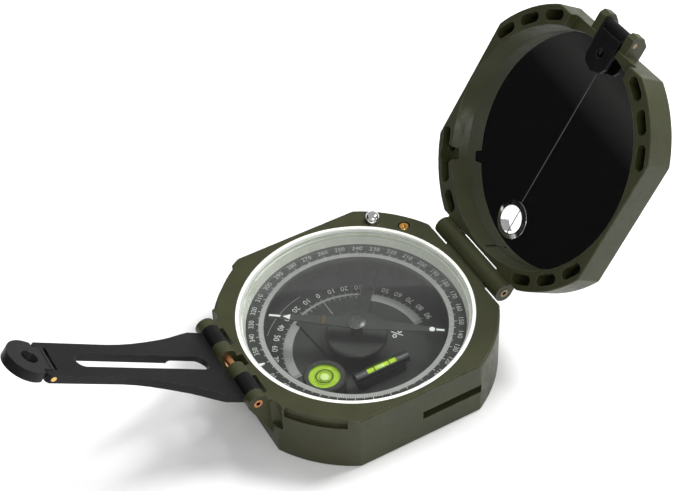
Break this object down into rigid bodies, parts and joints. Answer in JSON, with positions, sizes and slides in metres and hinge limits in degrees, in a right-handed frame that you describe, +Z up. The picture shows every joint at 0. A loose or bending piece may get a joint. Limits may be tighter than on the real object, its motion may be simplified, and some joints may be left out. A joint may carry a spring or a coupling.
{
  "type": "sighting compass",
  "caption": "Folding sighting compass: case with turning dial, needle, levels and clinometer, mirror lid on a hinge and a slotted sighting arm with a peep.",
  "frame": {"origin": "dial axis where it meets the plane of the case's underside", "axes": "+Z up along the dial axis, +Y to the lid hinge, -Y to the sighting arm, +X to the right"},
  "size_m": [0.07, 0.1827, 0.0838],
  "materials": {
    "case_paint": "satin olive paint",
    "white_ring": "gloss",
    "glass": "clear",
    "grey_gasket": "matt",
    "ring_print": "matt print",
    "brass": "machined",
    "copper": "machined",
    "dial_black": "matt",
    "steel": "machined",
    "chrome": "polished",
    "level_metal": "dark plated",
    "spirit": "clear liquid",
    "rear_metal": "machined",
    "needle_black": "satin",
    "luminous_white": "matt",
    "mirror": "polished",
    "backing": "matt",
    "line_grey": "matt",
    "window_metal": "polished",
    "arm_black": "satin"
  },
  "bodies": {
    "case": {"case_body": "case_paint", "bezel_ring": "white_ring", "lubber_index": "white_ring", "crystal": "glass", "crystal_gasket": "grey_gasket", "dial_plate": "dial_black", "dial_screws": "dial_black", "lever_bracket": "steel", "fulcrum_pin": "steel", "lid_hinge_pin": "brass", "arm_hinge_pin": "copper"},
    "ring": {"graduated_ring": "ring_print"},
    "pinion": {"pinion_gear": "brass", "declination_screw": "brass"},
    "lift_button": {"lift_pin": "chrome"},
    "lift_bar": {"lift_lever": "dial_black"},
    "lift_washer": {"lift_collar": "dial_black"},
    "needle": {"needle_blade": "needle_black", "needle_cap": "needle_black", "needle_jewel": "brass", "needle_weight": "steel", "north_mark": "luminous_white", "south_mark": "luminous_white"},
    "clinometer": {"clinometer_shaft": "steel", "vernier_plate": "dial_black", "tube_level_holder": "level_metal", "tube_level_vial": "spirit", "round_level_cup": "dial_black", "round_level_spirit": "spirit", "round_level_lens": "glass", "rear_lever": "rear_metal", "rear_nut": "brass"},
    "lid": {"lid_shell": "case_paint", "mirror": "mirror", "mirror_pad": "backing", "sight_line": "line_grey", "window_ring": "window_metal", "front_sight_pin": "brass"},
    "lid_sight": {"front_sight": "arm_black"},
    "arm": {"sight_arm": "arm_black", "peep_hinge_pin": "brass"},
    "peep": {"peep_sight": "arm_black"}
  },
  "joints": [
    {"name": "lid_fold", "type": "hinge", "parent": "case", "child": "lid", "pos_m": [0, 0.0383, 0.0186], "axis": [-1, 0, 0], "range_deg": [-121.7, 58.3]},
    {"name": "lid_sight_fold", "type": "hinge", "parent": "lid", "child": "lid_sight", "pos_m": [0, 0.08286, 0.08123], "axis": [-1, 0, 0], "range_deg": [0, 110]},
    {"name": "arm_fold", "type": "hinge", "parent": "case", "child": "arm", "pos_m": [0, -0.0383, 0.0189], "axis": [1, 0, 0], "range_deg": [-147.4, 32.6]},
    {"name": "peep_fold", "type": "hinge", "parent": "arm", "child": "peep", "pos_m": [0, -0.08629, 0.04817], "axis": [-1, 0, 0], "range_deg": [-7, 83]},
    {"name": "ring_turn", "type": "hinge", "parent": "case", "child": "ring", "pos_m": [0, 0, 0.0127], "axis": [0, 0, 1], "continuous": true},
    {"name": "pinion_turn", "type": "hinge", "parent": "case", "child": "pinion", "pos_m": [-0.02173, 0.02832, 0.0127], "axis": [0, 0, 1], "continuous": true},
    {"name": "lift_press", "type": "slide", "parent": "case", "child": "lift_button", "axis": [0, 0, -1], "range_m": [0, 0.001], "stiffness_N_per_m": 120, "springref_m": -0.0005},
    {"name": "lift_tilt", "type": "hinge", "parent": "case", "child": "lift_bar", "pos_m": [-0.0175, 0.01333, 0.00385], "axis": [-0.606, -0.7955, 0], "range_deg": [0, 4.17]},
    {"name": "lift_rise", "type": "slide", "parent": "case", "child": "lift_washer", "axis": [0, 0, 1], "range_m": [0, 0.0016]},
    {"name": "needle_swing", "type": "hinge", "parent": "lift_washer", "child": "needle", "pos_m": [0, 0, 0.0131], "axis": [0, 0, 1], "continuous": true},
    {"name": "clinometer_turn", "type": "hinge", "parent": "case", "child": "clinometer", "pos_m": [0, 0, 0.0031], "axis": [0, 0, 1], "range_deg": [-90, 90]}
  ],
  "couplings": [
    {"joint": "ring_turn", "follows": "pinion_turn", "ratio": -0.091743},
    {"joint": "lift_tilt", "follows": "lift_press", "rad_per_m": 71.942},
    {"joint": "lift_rise", "follows": "lift_press", "ratio": 1.5827}
  ]
}
